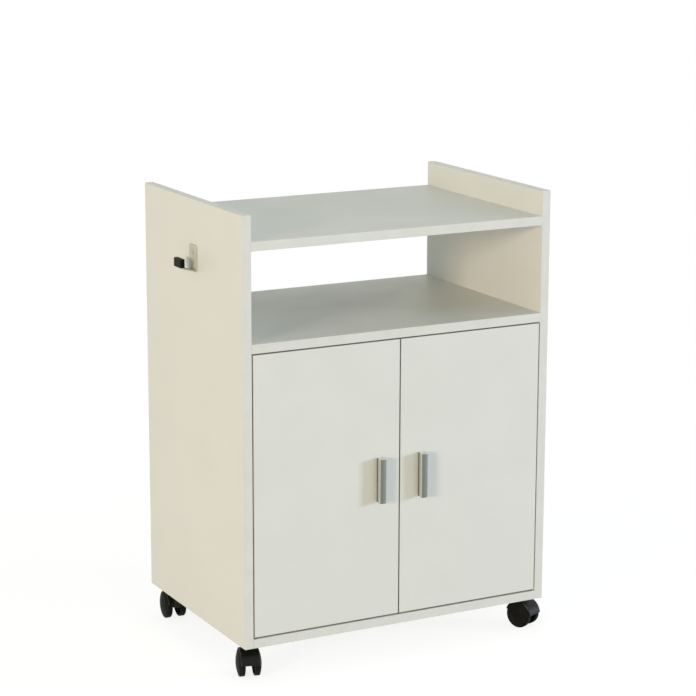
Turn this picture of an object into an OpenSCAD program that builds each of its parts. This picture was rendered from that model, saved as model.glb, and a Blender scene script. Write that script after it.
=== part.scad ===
// Microwave cart on four twin-wheel casters. Two side panels stand above an open top board,
// an open niche lies under it, and a cupboard with two inset doors lies under the niche.
// Millimetres. +Z is up and the front faces -Y. The origin is on the floor, midway between
// the outer faces of the side panels and midway between their front and back edges.

/* [Carcass] */
// Width over the two side panels
cart_width = 590; // [500:5:680]
// Depth of the side panels from front to back
cart_depth = 400; // [360:5:480]
// Height of the side panels
panel_height = 740; // [680:5:820]
// Thickness of the particleboard of every panel, shelf and door
board_thick = 16; // [15:0.5:18]
// How far the side panels stand above the top board
panel_upstand = 44; // [20:1:80]
// Clear height of the open niche
niche_height = 155; // [120:5:200]

/* [Back of the cupboard] */
// Thickness of the hardboard back
back_thick = 3; // [2.5:0.5:4]
// Depth of the grooves that hold the back
groove_depth = 6; // [4:0.5:7]
// How much wider the grooves are than the back is thick
groove_slack = 0.4; // [0.2:0.1:0.8]
// How far the back stops short of the bottom of its grooves
groove_end_gap = 0.5; // [0.2:0.1:1]
// From the rear edges of the panels to the grooves
back_inset = 10; // [8:1:20]

/* [Shelf in the cupboard] */
// Height of the shelf pins above the underside of the carcass
shelf_level = 243; // [190:1:300]
// Gap between the swinging doors and the front edge of the shelf
shelf_front_gap = 6; // [2:1:30]
// Gap between each end of the shelf and the side panel
shelf_end_gap = 1.5; // [1.2:0.1:3]
// Diameter of a shelf pin
shelf_pin_dia = 5; // [4:0.5:6]
// Depth of a shelf pin's hole
shelf_pin_depth = 9; // [7:0.5:11]
// Length of pin under the shelf
shelf_pin_reach = 9; // [7:0.5:14]
// From the front and back edges of a side panel to its shelf pins
shelf_pin_inset = 64; // [50:1:90]
// Holes in each row, one above the other
shelf_pin_rows = 3; // [1:2:5]
// Height between two holes of a row
shelf_pin_pitch = 32; // [20:1:40]

/* [Joints of the boards] */
// From the front and back edges of a board to its cam fittings
cam_inset = 80; // [70:1:110]
// Diameter of a cam
cam_dia = 15; // [12:1:18]
// Height of a cam
cam_height = 12.4; // [11.5:0.1:13]
// From the end of a board to the middle of its cams
cam_setback = 34; // [24:1:40]
// Diameter of the head of a cam bolt
bolt_head_dia = 7; // [6:0.5:8]
// Diameter of the shank of a cam bolt
bolt_shank_dia = 5; // [4:0.5:5.5]
// Depth of a cam bolt in the side panel
bolt_depth = 11; // [9:0.5:12]
// From a cam bolt to the dowel beside it
dowel_offset = 32; // [20:1:40]
// Diameter of a dowel
dowel_dia = 8; // [6:0.5:10]
// Length of a dowel
dowel_length = 30; // [25:1:40]
// Depth of a dowel in the side panel
dowel_depth = 10; // [8:0.5:12]

/* [Doors] */
// Gap at the sides and tops of the doors and between them
door_gap = 2; // [1.8:0.1:3]
// Gap under the doors
door_foot_gap = 3; // [2:0.1:5]

/* [Handles] */
// Length of a handle
handle_length = 78; // [74:1:120]
// Distance between the two screws of a handle
handle_pitch = 64; // [50:1:66]
// Width of a handle
handle_width = 12.5; // [11:0.5:16]
// How far a handle stands out from the door
handle_reach = 17; // [14:0.5:24]
// How far the front of a handle is crowned
handle_crown = 1.3; // [0.6:0.1:2]
// Radius of the finger groove along each side of a handle
groove_radius = 3.4; // [2.8:0.1:4]
// How deep the finger groove goes into the side of a handle
groove_bite = 2.4; // [1:0.1:2.6]
// From the meeting edge of a door to the middle of its handle
handle_inset = 39.5; // [30:0.5:80]
// Height of the middle of a handle above the middle of its door
handle_raise = 2; // [-120:1:120]
// Diameter of a handle screw
handle_screw_dia = 4; // [3:0.5:5]

/* [Concealed hinges] */
// From the top and bottom of a door to the middle of its hinges
hinge_inset = 90; // [70:1:140]
// Diameter of the hinge cup
cup_dia = 35; // [34:0.5:40]
// Depth of the hinge cup in the door
cup_depth = 12; // [11.5:0.1:13]
// Wall of the hinge cup
cup_wall = 1; // [0.8:0.1:1.2]
// Least wood between the hinge cup and the edge of the door
cup_edge = 4.5; // [3:0.5:7]
// Diameter of the pin across the hinge cup
hinge_pin_dia = 3; // [2.5:0.1:3.4]
// Width of the hinge arm
arm_width = 12; // [10:0.5:13]
// Thickness of the steel of the arm and of its mounting plate
arm_thick = 2; // [1.6:0.1:2.4]
// Length of the mounting plate along the side panel
plate_length = 36; // [32:1:50]
// Distance between the two screws of a mounting plate
plate_screw_pitch = 32; // [30:1:36]

/* [Hook on the left side] */
// From the front edge of the panel to the middle of the hook
hook_from_front = 192; // [80:1:300]
// From the top edge of the panel to the top of the hook
hook_from_top = 77; // [60:1:300]
// Width of the hook's plate
hook_width = 30; // [24:1:40]
// Height of the hook's plate
hook_height = 46; // [42:1:80]
// Thickness of the hook's steel strip
hook_thick = 2; // [1.5:0.1:3]
// How far the bent arm reaches out
hook_reach = 27; // [20:1:40]
// How far the arm rises on its way out
hook_rise = 7; // [4:0.5:12]
// Length of the turned-up end
hook_tip = 14; // [11:0.5:20]

/* [Casters] */
// Height of the underside of the carcass above the floor
caster_height = 59; // [57:0.5:70]
// Diameter of a wheel
wheel_dia = 47; // [43:0.5:49]
// Width of a wheel
wheel_width = 13.6; // [12:0.2:16]
// How far the outer face of a wheel is domed
wheel_dome = 4.5; // [3:0.1:5]
// Thickness of the web between the two wheels
web_thick = 15.5; // [14:0.5:20]
// Distance of the wheels' axle behind the stem
caster_trail = 20.5; // [18:0.5:22]
// From the outer side of the carcass to a caster's stem
caster_inset_x = 27; // [26:1:50]
// From the front or back of the carcass to a caster's stem
caster_inset_y = 52; // [40:1:60]
// Diameter of a caster's stem
stem_dia = 8; // [7:0.5:9]
// Thickness of the hood over the wheels
hood_thick = 2.2; // [2:0.1:3]
// How each caster is turned: front left, front right, back left, back right
caster_turns = [-16, 25, 176, 160];

/* [Hidden] */
$fn = 48;

SIDES = ["left", "right"];
LEVELS = ["lower", "upper"];
CORNERS = ["front_left", "front_right", "back_left", "back_right"];

// Colours as the photograph shows them
melamine_white = "#DADBD4";
hardboard_white = "#D2D2C8";
satin_aluminium = "#B9BDB8";
zinc_plate = "#A9AAA4";
hook_grey = "#A5A58C";
black_nylon = "#1F201B";
beech = "#C8A878";

// Clearances
fixed_play = 0.05;    // around a pin or screw that stays put, on the radius
running_play = 0.05;  // around a pin that turns, on the radius
swing_clear = 0.5;    // between a swinging door's corner and the side panel
eye_clear = 0.4;      // between the hinge arm's eye and the floor of the cup
wheel_play = 0.45;    // between a wheel and the web
hood_clear = 1;       // between a wheel's tread and the hood
swivel_gap = 0.3;     // between a caster's hood and the collar of its stem
overcut = 1;          // how far a cutter runs past the face that it opens

// Carcass
carcass_z = caster_height;
half_width = cart_width / 2;
half_depth = cart_depth / 2;
inner_half = half_width - board_thick;
bottom_z = carcass_z;
top_z = carcass_z + panel_height - panel_upstand - board_thick;
middle_z = top_z - niche_height - board_thick;
board_levels = [bottom_z, middle_z, top_z];

// Back of the cupboard
groove_width = back_thick + groove_slack;
groove_y = half_depth - back_inset - groove_width;
groove_low = bottom_z + board_thick - groove_depth;
groove_high = middle_z + groove_depth;

// Joints of the boards
joint_ys = [-half_depth + cam_inset, half_depth - cam_inset];
dowel_ys = [joint_ys[0] + dowel_offset, joint_ys[1] - dowel_offset];
bolt_head_play = 0.5;
bolt_bore_dia = bolt_head_dia + 2 * bolt_head_play;
bolt_collar_gap = 0.1;
bolt_collar_dia = bolt_bore_dia - 2 * bolt_collar_gap;
bolt_collar_thick = 1.5;
bolt_head_length = 3;
cam_slot_slack = 0.4;
cam_driver_slot = 2;
dowel_end_gap = 0.5;

// Doors
door_low = bottom_z + board_thick + door_foot_gap;
door_high = middle_z - door_gap;
door_outer = inner_half - door_gap;
door_inner = door_gap / 2;
door_middle_z = (door_low + door_high) / 2;

// Handles
handle_x = door_inner + handle_inset;
handle_z = door_middle_z + handle_raise;
handle_foot = 1.1;
handle_thread_depth = 11;
handle_screw_end_gap = 1;
pan_head_dia = 2 * handle_screw_dia;
pan_head_height = 2.5;

// Concealed hinges, from the inner face of the panel (x), the front (y) and their middle (z).
// The pin lies where the door's front corner clears the panel while it swings.
hinge_levels = [door_low + hinge_inset, door_high - hinge_inset];
eye_wall = 1.1;
eye_radius = hinge_pin_dia / 2 + eye_wall;
pivot_y = board_thick - cup_depth + cup_wall + eye_clear + eye_radius;
corner_swing = door_gap - swing_clear;
pivot_in = max(cup_dia / 2 + cup_edge, (pow(pivot_y, 2) - pow(corner_swing, 2)) / (2 * corner_swing));
pivot_x = door_gap + pivot_in;
door_swing = norm([pivot_in, board_thick - pivot_y]);
neck_angle = 40;
neck_reach = 4.6;
neck_length = door_swing + neck_reach;
arm_clear = 5.6;
arm_cross_y = pivot_y + door_swing + arm_clear;
arm_crank_run = 9;
arm_end_gap = 2;
riser_height = 4;
riser_side_gap = 0.2;
arm_skirt = 1.2;
arm_skirt_drop = 5.6;
arm_skirt_lap = 0.1;
plate_lead = 5;
plate_y = arm_cross_y + plate_lead;
plate_wing_lead = 13;
plate_middle_y = plate_y + plate_wing_lead;
plate_wing_width = 18;
plate_wing_end = 8;
plate_round = 4;
arm_base_x = arm_thick + riser_height;
arm_screw_lead = 8;
arm_screw_tail = 11;
arm_screw_ys = [plate_y + arm_screw_lead, plate_y + plate_length - arm_screw_tail];
arm_screw_dia = 4.5;
arm_screw_head_dia = 8;
arm_screw_head = 2.2;
cup_flange_thick = 1.2;
cup_flange_rim = 1.5;
cup_flange_dia = cup_dia + 2 * cup_flange_rim;
cup_flange_half = 30;
cup_flange_width = 16;
cup_flange_shift = 6;
cup_flange_round = 4;
cup_screw_spread = 24;
pin_end_gap = 0.3;
wood_screw_dia = 3.5;
wood_screw_head_dia = 7;
wood_screw_head = 2;
wood_screw_length = 12;

// Shelf in the cupboard
shelf_pin_z = carcass_z + shelf_level;
shelf_pin_ys = [-half_depth + shelf_pin_inset, half_depth - shelf_pin_inset];
shelf_front = -half_depth + pivot_y + door_swing + shelf_front_gap;
shelf_back_gap = 2;
shelf_back = groove_y - shelf_back_gap;
shelf_half = inner_half - shelf_end_gap;
pin_collar_rim = 1.5;
pin_collar_dia = shelf_pin_dia + 2 * pin_collar_rim;
pin_collar_thick = 1;

// Hook
hook_top_z = carcass_z + panel_height - hook_from_top;
hook_y = -half_depth + hook_from_front;
hook_foot_z = hook_top_z - hook_height;
hook_shoulder = 1;
hook_arm_width = hook_width - 2 * hook_shoulder;
hook_round = 5;
hook_screw_drop = 13;
hook_screw_pitch = 18;
hook_screw_zs = [hook_top_z - hook_screw_drop, hook_top_z - hook_screw_drop - hook_screw_pitch];
hook_bend_z = hook_foot_z + hook_thick / 2;
hook_cap_wall = 0.5;
hook_cap_length = hook_arm_width + 2 * hook_cap_wall;
hook_cap_thick = 8.5;
hook_cap_lift = 0.5;
hook_cap_top = 1;
hook_cap_height = hook_tip + hook_cap_top - hook_cap_lift;
hook_cap_round = 2;

// Casters, from the stem's axis, with the wheels trailing towards -Y
wheel_radius = wheel_dia / 2;
wheel_round = 1.6;
caster_half = web_thick / 2 + wheel_play + wheel_width;
dome_radius = (pow(wheel_radius, 2) + pow(wheel_dome, 2)) / (2 * wheel_dome);
hood_inner = wheel_radius + hood_clear;
hood_outer = hood_inner + hood_thick;
hood_angles = [5, 165];
web_setback = 2;
hub_radius = 5;
boss_relief = 0.05;
boss_radius = web_thick / 2 - boss_relief;
boss_lift = 1;
boss_foot_z = wheel_radius + boss_lift;
collar_dia = 16;
collar_thick = 2.5;
boss_top_z = caster_height - collar_thick - swivel_gap;
boss_floor = 2;
stem_foot_gap = 2;
stem_foot_z = boss_foot_z + boss_floor + stem_foot_gap;
axle_dia = 6;
hub_face = 2.2;
hub_depth = wheel_width - hub_face;
axle_end_gap = 0.3;
axle_half = web_thick / 2 + wheel_play + hub_depth - axle_end_gap;
insert_wall = 1.5;
insert_dia = stem_dia + 2 * insert_wall;
insert_depth = 13;
stem_depth = 12;

// ---------- helpers ----------

// Rods and bores along one axis
module rod_x(x0, x1, dia) {
    translate([x0, 0, 0]) rotate([0, 90, 0]) cylinder(d = dia, h = x1 - x0);
}

module rod_y(y0, y1, dia) {
    translate([0, y1, 0]) rotate([90, 0, 0]) cylinder(d = dia, h = y1 - y0);
}

module rod_z(z0, z1, dia) {
    translate([0, 0, z0]) cylinder(d = dia, h = z1 - z0);
}

// A box from its low corner to its high corner
module block(low, high) {
    translate(low) cube(high - low);
}

// Everything is drawn for the left side, and the right side is its mirror image
module on_side(side) {
    if (side == "left") children();
    else mirror([1, 0, 0]) children();
}

// A rectangle from (0, 0) whose two corners at the far x are rounded
module far_rounded(length, width, round) {
    square([length - round, width]);
    translate([0, round]) square([length, width - 2 * round]);
    for (y = [round, width - round]) translate([length - round, y]) circle(r = round);
}

// A rectangle from (0, 0) with four rounded corners
module rounded_box(length, width, round) {
    translate([round, 0]) far_rounded(length - round, width, round);
    translate([0, round]) square([round, width - 2 * round]);
    for (y = [round, width - round]) translate([round, y]) circle(r = round);
}

// A strip of even thickness, bent sharply at each point of its middle line
function left_of(run) = [-run[1], run[0]] / norm(run);
function mitre(path, i) =
    let (
        last = len(path) - 1,
        before = left_of(path[max(i, 1)] - path[max(i, 1) - 1]),
        after = left_of(path[min(i + 1, last)] - path[min(i, last - 1)])
    )
    (before + after) / (1 + before * after);

module bent_strip(path, thick) {
    polygon([
        for (i = [0 : len(path) - 1]) path[i] + mitre(path, i) * thick / 2,
        for (i = [len(path) - 1 : -1 : 0]) path[i] - mitre(path, i) * thick / 2
    ]);
}

// ---------- carcass ----------

// One place for each cam fitting: +x runs from the panel's inner face into the board
module at_each_joint(levels, ys) {
    for (side = SIDES) on_side(side)
        for (z = levels, y = ys) translate([-inner_half, y, z + board_thick / 2]) children();
}

// Bores in the end of a board: bolt, cam from the underside, and dowel
module board_end_bores(z) {
    at_each_joint([z], joint_ys) {
        rod_x(-overcut, cam_setback, bolt_bore_dia);
        translate([cam_setback, 0, -board_thick / 2])
            rod_z(-overcut, cam_height, cam_dia + 2 * fixed_play);
    }
    at_each_joint([z], dowel_ys)
        rod_x(-overcut, dowel_length - dowel_depth + dowel_end_gap, dowel_dia + 2 * fixed_play);
}

// Groove for the back, cut in the board that starts at height z
module board_groove(z, from_top) {
    low = from_top ? z + board_thick - groove_depth : z - overcut;
    high = from_top ? z + board_thick + overcut : z + groove_depth;
    block([-half_width, groove_y, low], [half_width, groove_y + groove_width, high]);
}

module plain_board(z) {
    block([-inner_half, -half_depth, z], [inner_half, half_depth, z + board_thick]);
}

module side_panel(side) {
    color(melamine_white) on_side(side) difference() {
        block([-half_width, -half_depth, carcass_z], [-inner_half, half_depth, carcass_z + panel_height]);
        block(
            [-inner_half - groove_depth, groove_y, groove_low],
            [-inner_half + overcut, groove_y + groove_width, groove_high]
        );
        for (z = board_levels) {
            for (y = joint_ys) translate([-inner_half, y, z + board_thick / 2])
                rod_x(-bolt_depth, overcut, bolt_shank_dia + 2 * fixed_play);
            for (y = dowel_ys) translate([-inner_half, y, z + board_thick / 2])
                rod_x(-dowel_depth, overcut, dowel_dia + 2 * fixed_play);
        }
        half_rows = (shelf_pin_rows - 1) / 2;
        for (row = [-half_rows : half_rows], y = shelf_pin_ys)
            translate([-inner_half, y, shelf_pin_z + row * shelf_pin_pitch])
                rod_x(-shelf_pin_depth, overcut, shelf_pin_dia + 2 * fixed_play);
        at_plate_screws()
            rod_x(arm_thick - wood_screw_length, overcut, wood_screw_dia + 2 * fixed_play);
        if (side == "left") at_hook_screws()
            rod_x(-overcut, wood_screw_length - hook_thick, wood_screw_dia + 2 * fixed_play);
    }
}

module top_board() {
    color(melamine_white) difference() {
        plain_board(top_z);
        board_end_bores(top_z);
    }
}

module middle_shelf() {
    color(melamine_white) difference() {
        plain_board(middle_z);
        board_end_bores(middle_z);
        board_groove(middle_z, false);
    }
}

module bottom_board() {
    color(melamine_white) difference() {
        plain_board(bottom_z);
        board_end_bores(bottom_z);
        board_groove(bottom_z, true);
        at_casters() rod_z(carcass_z - overcut, carcass_z + insert_depth, insert_dia + 2 * fixed_play);
    }
}

module back_panel() {
    into_groove = groove_depth - groove_end_gap;
    color(hardboard_white) block(
        [-inner_half - into_groove, groove_y + groove_slack / 2, bottom_z + board_thick - into_groove],
        [inner_half + into_groove, groove_y + groove_slack / 2 + back_thick, middle_z + into_groove]
    );
}

module inner_shelf() {
    low = shelf_pin_z + shelf_pin_dia / 2;
    color(melamine_white)
        block([-shelf_half, shelf_front, low], [shelf_half, shelf_back, low + board_thick]);
}

// A steel pin with a collar against the panel; the shelf lies on its outer end
module shelf_pins() {
    color(zinc_plate) for (side = SIDES) on_side(side)
        for (y = shelf_pin_ys) translate([-inner_half, y, shelf_pin_z]) {
            rod_x(-shelf_pin_depth, shelf_end_gap + shelf_pin_reach, shelf_pin_dia);
            rod_x(0, pin_collar_thick, pin_collar_dia);
        }
}

// A round cam with a channel that takes the head of the bolt, and a slot for a driver
module cam_locks() {
    channel = bolt_head_dia + cam_slot_slack;
    color(zinc_plate) at_each_joint(board_levels, joint_ys) difference() {
        translate([cam_setback, 0, -board_thick / 2]) rod_z(0, cam_height, cam_dia);
        block(
            [cam_setback - cam_dia, -channel / 2, -channel / 2],
            [cam_setback + bolt_head_length, channel / 2, channel / 2]
        );
        translate([cam_setback, 0, -board_thick / 2]) block(
            [-cam_dia / 3, -cam_driver_slot / 2, -overcut],
            [cam_dia / 3, cam_driver_slot / 2, cam_driver_slot]
        );
    }
}

module cam_bolts() {
    color(zinc_plate) at_each_joint(board_levels, joint_ys) {
        rod_x(-bolt_depth, cam_setback, bolt_shank_dia);
        rod_x(0, bolt_collar_thick, bolt_collar_dia);
        rod_x(cam_setback - bolt_head_length / 2, cam_setback + bolt_head_length / 2, bolt_head_dia);
    }
}

module dowels() {
    color(beech) at_each_joint(board_levels, dowel_ys)
        rod_x(-dowel_depth, dowel_length - dowel_depth, dowel_dia);
}

// ---------- hook on the left panel ----------

module at_hook_screws() {
    for (z = hook_screw_zs) translate([-half_width, hook_y, z]) children();
}

// A steel strip: a flat plate, an arm bent out at its foot, and a turned-up end
module hook_strip() {
    foot = [hook_thick / 2, hook_bend_z];
    elbow = foot + [hook_reach - hook_thick / 2, hook_rise];
    color(hook_grey) difference() {
        union() {
            translate([-half_width, hook_y, hook_bend_z]) rotate([90, 0, -90])
                translate([-hook_width / 2, 0]) linear_extrude(hook_thick) rotate(90)
                    mirror([0, 1]) far_rounded(hook_height - hook_thick / 2, hook_width, hook_round);
            translate([-half_width, hook_y, 0]) mirror([1, 0, 0]) rotate([90, 0, 0])
                linear_extrude(hook_arm_width, center = true) {
                    translate(foot) circle(d = hook_thick);
                    bent_strip([foot, elbow, elbow + [0, hook_tip]], hook_thick);
                }
        }
        at_hook_screws() rod_x(-overcut - hook_thick, overcut, wood_screw_dia + 2 * fixed_play);
    }
}

// A moulded cap pushed over the turned-up end
module hook_cap() {
    middle_x = -half_width - hook_reach;
    elbow_top = hook_bend_z + hook_rise + hook_thick / 2;
    low = elbow_top + hook_cap_lift;
    color(black_nylon) difference() {
        translate([middle_x + hook_cap_thick / 2, hook_y - hook_cap_length / 2, low]) rotate([0, 0, 90])
            linear_extrude(hook_cap_height)
                rounded_box(hook_cap_length, hook_cap_thick, hook_cap_round);
        block(
            [middle_x - hook_thick / 2, hook_y - hook_arm_width / 2, low - overcut],
            [middle_x + hook_thick / 2, hook_y + hook_arm_width / 2, elbow_top + hook_tip]
        );
    }
}

module hook_screws() {
    color(zinc_plate) at_hook_screws() {
        rod_x(-hook_thick - wood_screw_head, -hook_thick, wood_screw_head_dia);
        rod_x(-hook_thick, wood_screw_length - hook_thick, wood_screw_dia);
    }
}

// ---------- doors ----------

// The middle of the handle on the left door, with the front of the door at y = 0
module at_handle() {
    translate([-handle_x, -half_depth, handle_z]) children();
}

module at_handle_screws() {
    for (s = [-1, 1]) translate([0, 0, s * handle_pitch / 2]) children();
}

module door(side) {
    color(melamine_white) on_side(side) difference() {
        block([-door_outer, -half_depth, door_low], [-door_inner, -half_depth + board_thick, door_high]);
        at_handle() at_handle_screws()
            rod_y(-overcut, board_thick + overcut, handle_screw_dia + 2 * fixed_play);
        at_hinges(LEVELS) translate([pivot_x, 0, 0]) {
            rod_y(board_thick - cup_depth, board_thick + overcut, cup_dia + 2 * fixed_play);
            at_cup_screws()
                rod_y(
                    board_thick + cup_flange_thick - wood_screw_length,
                    board_thick + overcut,
                    wood_screw_dia + 2 * fixed_play
                );
        }
    }
}

// The profile across a handle: a foot on the door, a finger groove in each side, a crowned front
module handle_profile() {
    half = handle_width / 2;
    crown_radius = (pow(half, 2) + pow(handle_crown, 2)) / (2 * handle_crown);
    difference() {
        intersection() {
            translate([-half, 0]) square([handle_width, handle_reach]);
            translate([0, handle_reach - crown_radius]) circle(r = crown_radius);
        }
        for (s = [-1, 1]) translate([s * (half + groove_radius - groove_bite), handle_foot + groove_radius])
            circle(r = groove_radius);
    }
}

// A length of the extruded profile, tapped from behind for its two screws
module handle(side) {
    color(satin_aluminium) on_side(side) at_handle() difference() {
        translate([0, 0, -handle_length / 2]) mirror([0, 1, 0]) linear_extrude(handle_length)
            handle_profile();
        at_handle_screws() rod_y(-handle_thread_depth, overcut, handle_screw_dia + 2 * fixed_play);
    }
}

module handle_screws(side) {
    color(zinc_plate) on_side(side) at_handle() at_handle_screws() {
        rod_y(board_thick, board_thick + pan_head_height, pan_head_dia);
        rod_y(handle_screw_end_gap - handle_thread_depth, board_thick, handle_screw_dia);
    }
}

// ---------- concealed hinges ----------

function levels_z(levels) = [for (level = levels) hinge_levels[search([level], LEVELS)[0]]];

// The inner face of the left panel, the front of the doors and the middle of the hinge
module at_hinges(levels) {
    for (z = levels_z(levels)) translate([-inner_half, -half_depth, z]) children();
}

module at_cup_screws() {
    for (s = [-1, 1]) translate([cup_flange_shift, 0, s * cup_screw_spread]) children();
}

module at_plate_screws() {
    at_hinges(LEVELS) for (s = [-1, 1])
        translate([0, plate_middle_y, s * plate_screw_pitch / 2]) children();
}

// A drawn cup with a flange that is screwed to the back of the door
module hinge_cup(side, level) {
    outer_y = board_thick + cup_flange_thick;
    color(zinc_plate) on_side(side) at_hinges([level]) translate([pivot_x, 0, 0]) difference() {
        union() {
            rod_y(board_thick - cup_depth, outer_y, cup_dia);
            rod_y(board_thick, outer_y, cup_flange_dia);
            translate([0, outer_y, 0]) rotate([90, 0, 0]) linear_extrude(cup_flange_thick)
                translate([cup_flange_shift - cup_flange_width / 2, -cup_flange_half])
                    rounded_box(cup_flange_width, 2 * cup_flange_half, cup_flange_round);
        }
        rod_y(board_thick - cup_depth + cup_wall, outer_y + overcut, cup_dia - 2 * cup_wall);
        translate([0, pivot_y, 0]) rod_z(-cup_dia, cup_dia, hinge_pin_dia + 2 * fixed_play);
        at_cup_screws() rod_y(board_thick - overcut, outer_y + overcut, wood_screw_dia + 2 * fixed_play);
    }
}

// One pin across each cup of a door
module hinge_pins(side) {
    half = cup_dia / 2 - pin_end_gap;
    color(zinc_plate) on_side(side) at_hinges(LEVELS) translate([pivot_x, pivot_y, 0])
        rod_z(-half, half, hinge_pin_dia);
}

module cup_screws(side) {
    outer_y = board_thick + cup_flange_thick;
    color(zinc_plate) on_side(side) at_hinges(LEVELS) translate([pivot_x, 0, 0]) at_cup_screws() {
        rod_y(outer_y, outer_y + wood_screw_head, wood_screw_head_dia);
        rod_y(outer_y - wood_screw_length, outer_y, wood_screw_dia);
    }
}

// A cranked arm: an eye round the pin, a neck that clears the open door, and a base on its plate
module hinge_arm(side, level) {
    eye = [pivot_x, pivot_y];
    bend = eye + neck_length * [cos(neck_angle), sin(neck_angle)];
    base_x = arm_base_x + arm_thick / 2;
    crank = [bend[0] - arm_crank_run, arm_cross_y];
    base_front = [base_x, arm_cross_y];
    base_end = [base_x, plate_y + plate_length - arm_end_gap];
    color(zinc_plate) on_side(side) at_hinges([level]) difference() {
        union() {
            linear_extrude(arm_width, center = true) {
                translate(eye) circle(r = eye_radius);
                bent_strip([eye, bend, crank, base_front, base_end], arm_thick);
            }
            for (s = [-1, 1]) scale([1, 1, s]) block(
                [arm_base_x + arm_thick - arm_skirt_drop, plate_y, arm_width / 2 - arm_skirt_lap],
                [arm_base_x + arm_thick, base_end[1], arm_width / 2 + arm_skirt]
            );
        }
        translate(eye) rod_z(-arm_width, arm_width, hinge_pin_dia + 2 * running_play);
        for (y = arm_screw_ys) translate([0, y, 0])
            rod_x(arm_base_x - overcut, arm_base_x + arm_thick + overcut, arm_screw_dia + 2 * fixed_play);
    }
}

// A plate with two wings that are screwed to the panel, and a riser that carries the arm
module hinge_plate(side, level) {
    riser_half = arm_width / 2 - arm_skirt_lap - riser_side_gap;
    wing_half = plate_screw_pitch / 2 + plate_wing_end;
    color(zinc_plate) on_side(side) at_hinges([level]) difference() {
        union() {
            translate([0, plate_middle_y - plate_wing_width / 2, -wing_half]) rotate([90, 0, 90])
                linear_extrude(arm_thick) rounded_box(plate_wing_width, 2 * wing_half, plate_round);
            block([0, plate_y, -riser_half], [arm_base_x, plate_y + plate_length, riser_half]);
        }
        for (s = [-1, 1]) translate([0, plate_middle_y, s * plate_screw_pitch / 2])
            rod_x(-overcut, arm_thick + overcut, wood_screw_dia + 2 * fixed_play);
        for (y = arm_screw_ys) translate([0, y, 0])
            rod_x(arm_thick / 2, arm_base_x + overcut, arm_screw_dia + 2 * fixed_play);
    }
}

module hinge_plate_screws() {
    color(zinc_plate) for (side = SIDES) on_side(side) at_plate_screws() {
        rod_x(arm_thick, arm_thick + wood_screw_head, wood_screw_head_dia);
        rod_x(arm_thick - wood_screw_length, arm_thick, wood_screw_dia);
    }
}

module hinge_arm_screws() {
    top_x = arm_base_x + arm_thick;
    color(zinc_plate) for (side = SIDES) on_side(side) at_hinges(LEVELS)
        for (y = arm_screw_ys) translate([0, y, 0]) {
            rod_x(top_x, top_x + arm_screw_head, arm_screw_head_dia);
            rod_x(arm_thick, top_x, arm_screw_dia);
        }
}

// ---------- casters ----------

function corner_index(corner) = search([corner], CORNERS)[0];
function corner_place(i) = [
    (i % 2 == 0 ? -1 : 1) * (half_width - caster_inset_x),
    (i < 2 ? -1 : 1) * (half_depth - caster_inset_y),
    0
];

module at_casters() {
    for (i = [0 : 3]) translate(corner_place(i)) children();
}

// A caster's own frame: the stem's axis on Z, the wheels trailing towards -Y, then turned
module at_caster(corner) {
    i = corner_index(corner);
    translate(corner_place(i)) rotate([0, 0, caster_turns[i]]) children();
}

// The axle's own frame: +x along the axle
module at_axle() {
    translate([0, -caster_trail, wheel_radius]) children();
}

module caster_inserts() {
    color(zinc_plate) at_casters() difference() {
        rod_z(carcass_z, carcass_z + insert_depth, insert_dia);
        rod_z(carcass_z - overcut, carcass_z + insert_depth + overcut, stem_dia + 2 * fixed_play);
    }
}

// A steel stem with a collar against the carcass, held in its insert
module caster_stem(corner) {
    color(zinc_plate) at_caster(corner) {
        rod_z(stem_foot_z, carcass_z + stem_depth, stem_dia);
        rod_z(carcass_z - collar_thick, carcass_z, collar_dia);
    }
}

// A flat sector in the plane across the axle: x towards the trailing side, y up
module sector(radius, from, to) {
    steps = 6;
    reach = 1.5 * radius;
    intersection() {
        circle(r = radius);
        polygon([
            [0, 0],
            for (k = [0 : steps]) let (a = from + (to - from) * k / steps) reach * [cos(a), sin(a)]
        ]);
    }
}

// Extrudes a shape drawn across the axle, symmetric about the web
module across_axle(width) {
    at_axle() mirror([0, 1, 0]) rotate([90, 0, 90]) linear_extrude(width, center = true) children();
}

// Half of a domed disc in section: x out from the axle, y along it to the top of the dome
module dome(reach, top) {
    intersection() {
        square([reach, top]);
        translate([0, top - dome_radius]) circle(r = dome_radius, $fn = 192);
    }
}

// A moulded hood over both wheels, with a web between them and a boss round the stem
module caster_hood(corner) {
    color(black_nylon) at_caster(corner) difference() {
        union() {
            intersection() {
                across_axle(2 * caster_half) difference() {
                    sector(hood_outer, hood_angles[0], hood_angles[1]);
                    circle(r = hood_inner);
                }
                at_axle() rotate([0, 90, 0]) rotate_extrude() for (s = [0, 1]) mirror([0, s])
                    dome(hood_outer + overcut, caster_half);
            }
            across_axle(web_thick) {
                sector(
                    hood_inner + hood_thick / 2,
                    hood_angles[0] + web_setback, hood_angles[1] - web_setback
                );
                circle(r = hub_radius);
            }
            rod_z(boss_foot_z, boss_top_z, 2 * boss_radius);
        }
        rod_z(boss_foot_z + boss_floor, boss_top_z + overcut, stem_dia + 2 * running_play);
        at_axle() rod_x(-web_thick, web_thick, axle_dia + 2 * fixed_play);
    }
}

module caster_axle(corner) {
    color(zinc_plate) at_caster(corner) at_axle() rod_x(-axle_half, axle_half, axle_dia);
}

// Half of a wheel in section: a domed outer face, a rounded tread and a blind hole for the axle
module wheel_section() {
    rim = wheel_radius - wheel_round;
    rim_top = wheel_width - dome_radius + sqrt(pow(dome_radius, 2) - pow(rim, 2));
    difference() {
        union() {
            dome(rim, wheel_width);
            far_rounded(wheel_radius, rim_top, wheel_round);
        }
        translate([0, -overcut]) square([axle_dia / 2 + running_play, hub_depth + overcut]);
    }
}

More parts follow.
